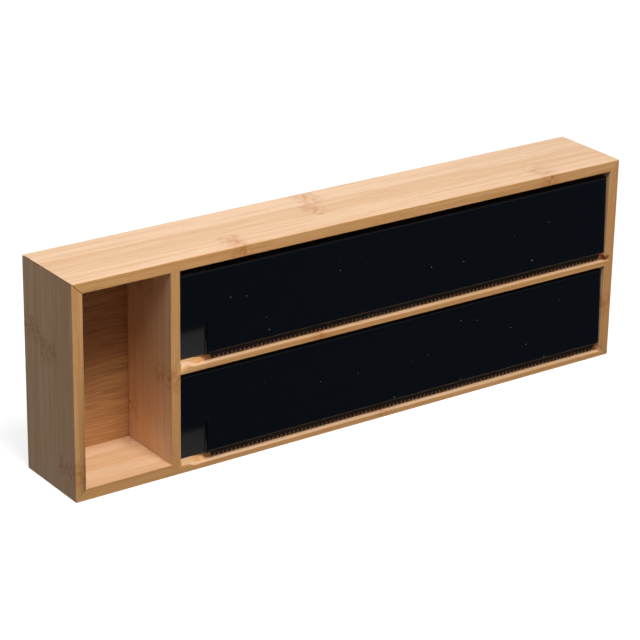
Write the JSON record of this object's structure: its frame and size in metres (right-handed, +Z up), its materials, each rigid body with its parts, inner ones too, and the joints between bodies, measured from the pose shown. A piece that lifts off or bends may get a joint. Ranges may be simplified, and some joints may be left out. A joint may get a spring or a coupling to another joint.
{
  "type": "cling film dispenser",
  "caption": "Mitred bamboo box with an open storage compartment and two roll bays, each closed by a hinged black flap with a serrated cutting strip.",
  "frame": {"origin": "middle of the underside", "axes": "+X to the right along the box, +Y to the back, +Z up; the flaps face -Y"},
  "size_m": [0.4, 0.056, 0.134],
  "materials": {
    "bamboo": "satin lacquered bamboo, straight grain with nodes",
    "panel_bamboo": "matt carbonised bamboo panel, streaky grain",
    "joinery_wood": "plain wood",
    "gloss_black": "high gloss black",
    "strip_black": "satin black",
    "pin_steel": "bright turned steel",
    "plate_steel": "zinc plated sheet"
  },
  "bodies": {
    "box": {"top_rail": "bamboo", "bottom_rail": "bamboo", "left_end": "bamboo", "right_end": "bamboo", "divider": "bamboo", "roll_shelf": "bamboo", "back_panel": "panel_bamboo", "corner_spline_bottom_left": "joinery_wood", "corner_spline_bottom_right": "joinery_wood", "corner_spline_top_left": "joinery_wood", "corner_spline_top_right": "joinery_wood", "lower_hinge_pin_left": "pin_steel", "lower_hinge_pin_right": "pin_steel", "upper_hinge_pin_left": "pin_steel", "upper_hinge_pin_right": "pin_steel", "keyhole_hanger_left": "plate_steel", "keyhole_hanger_right": "plate_steel", "hanger_screw_left_left": "pin_steel", "hanger_screw_left_right": "pin_steel", "hanger_screw_right_left": "pin_steel", "hanger_screw_right_right": "pin_steel"},
    "upper_flap": {"upper_flap": "gloss_black", "upper_cutter_strip": "strip_black"},
    "lower_flap": {"lower_flap": "gloss_black", "lower_cutter_strip": "strip_black"}
  },
  "joints": [
    {"name": "upper_flap_swing", "type": "hinge", "parent": "box", "child": "upper_flap", "pos_m": [0.0319, -0.0225, 0.1203], "axis": [-1, 0, 0], "range_deg": [0, 105]},
    {"name": "lower_flap_swing", "type": "hinge", "parent": "box", "child": "lower_flap", "pos_m": [0.0319, -0.0225, 0.0573], "axis": [-1, 0, 0], "range_deg": [0, 105]}
  ]
}
